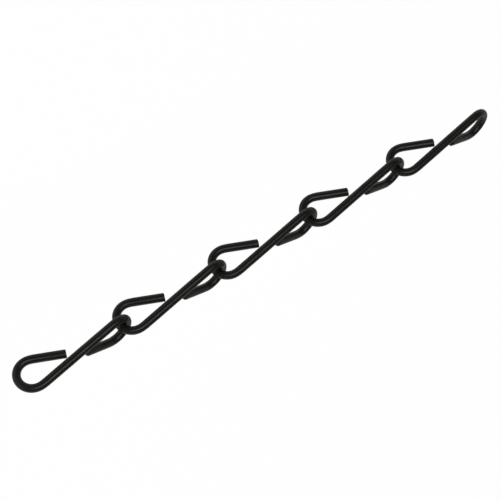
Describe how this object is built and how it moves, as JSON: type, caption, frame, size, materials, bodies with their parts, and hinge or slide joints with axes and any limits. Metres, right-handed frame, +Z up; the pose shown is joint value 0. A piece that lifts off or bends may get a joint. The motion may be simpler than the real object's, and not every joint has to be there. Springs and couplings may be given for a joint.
{
  "type": "safety chain hook",
  "caption": "Straight run of hooked wire links, each a shank with a teardrop hook at both ends turned a quarter turn apart, that tethers a pin, tailgate or trailer.",
  "frame": {"origin": "on the surface the chain lies on, under the middle of its box, which is the middle of link_3", "axes": "+X along the pull from link_1 to link_5, +Z up from the surface, the shanks on top and the backs of the eyes on the surface; half a turn about Z puts the chain back on itself"},
  "size_m": [0.2804, 0.0164, 0.0143],
  "materials": {
    "painted_wire": "satin"
  },
  "bodies": {
    "link_1": {"link_1": "painted_wire"},
    "link_2": {"link_2": "painted_wire"},
    "link_3": {"link_3": "painted_wire"},
    "link_4": {"link_4": "painted_wire"},
    "link_5": {"link_5": "painted_wire"}
  },
  "joints": [
    {"name": "link_2_swing", "type": "hinge", "parent": "link_1", "child": "link_2", "pos_m": [-0.07964, 0.00039, 0.00712], "axis": [0.1337, -0.6944, -0.7071], "range_deg": [-140, 100]},
    {"name": "link_3_swing", "type": "hinge", "parent": "link_2", "child": "link_3", "pos_m": [-0.02926, -0.00039, 0.00712], "axis": [0.1337, -0.6944, 0.7071], "range_deg": [-140, 100]},
    {"name": "link_4_swing", "type": "hinge", "parent": "link_3", "child": "link_4", "pos_m": [0.02926, 0.00039, 0.00712], "axis": [0.1337, -0.6944, -0.7071], "range_deg": [-140, 100]},
    {"name": "link_5_swing", "type": "hinge", "parent": "link_4", "child": "link_5", "pos_m": [0.07964, -0.00039, 0.00712], "axis": [0.1337, -0.6944, 0.7071], "range_deg": [-140, 100]}
  ]
}
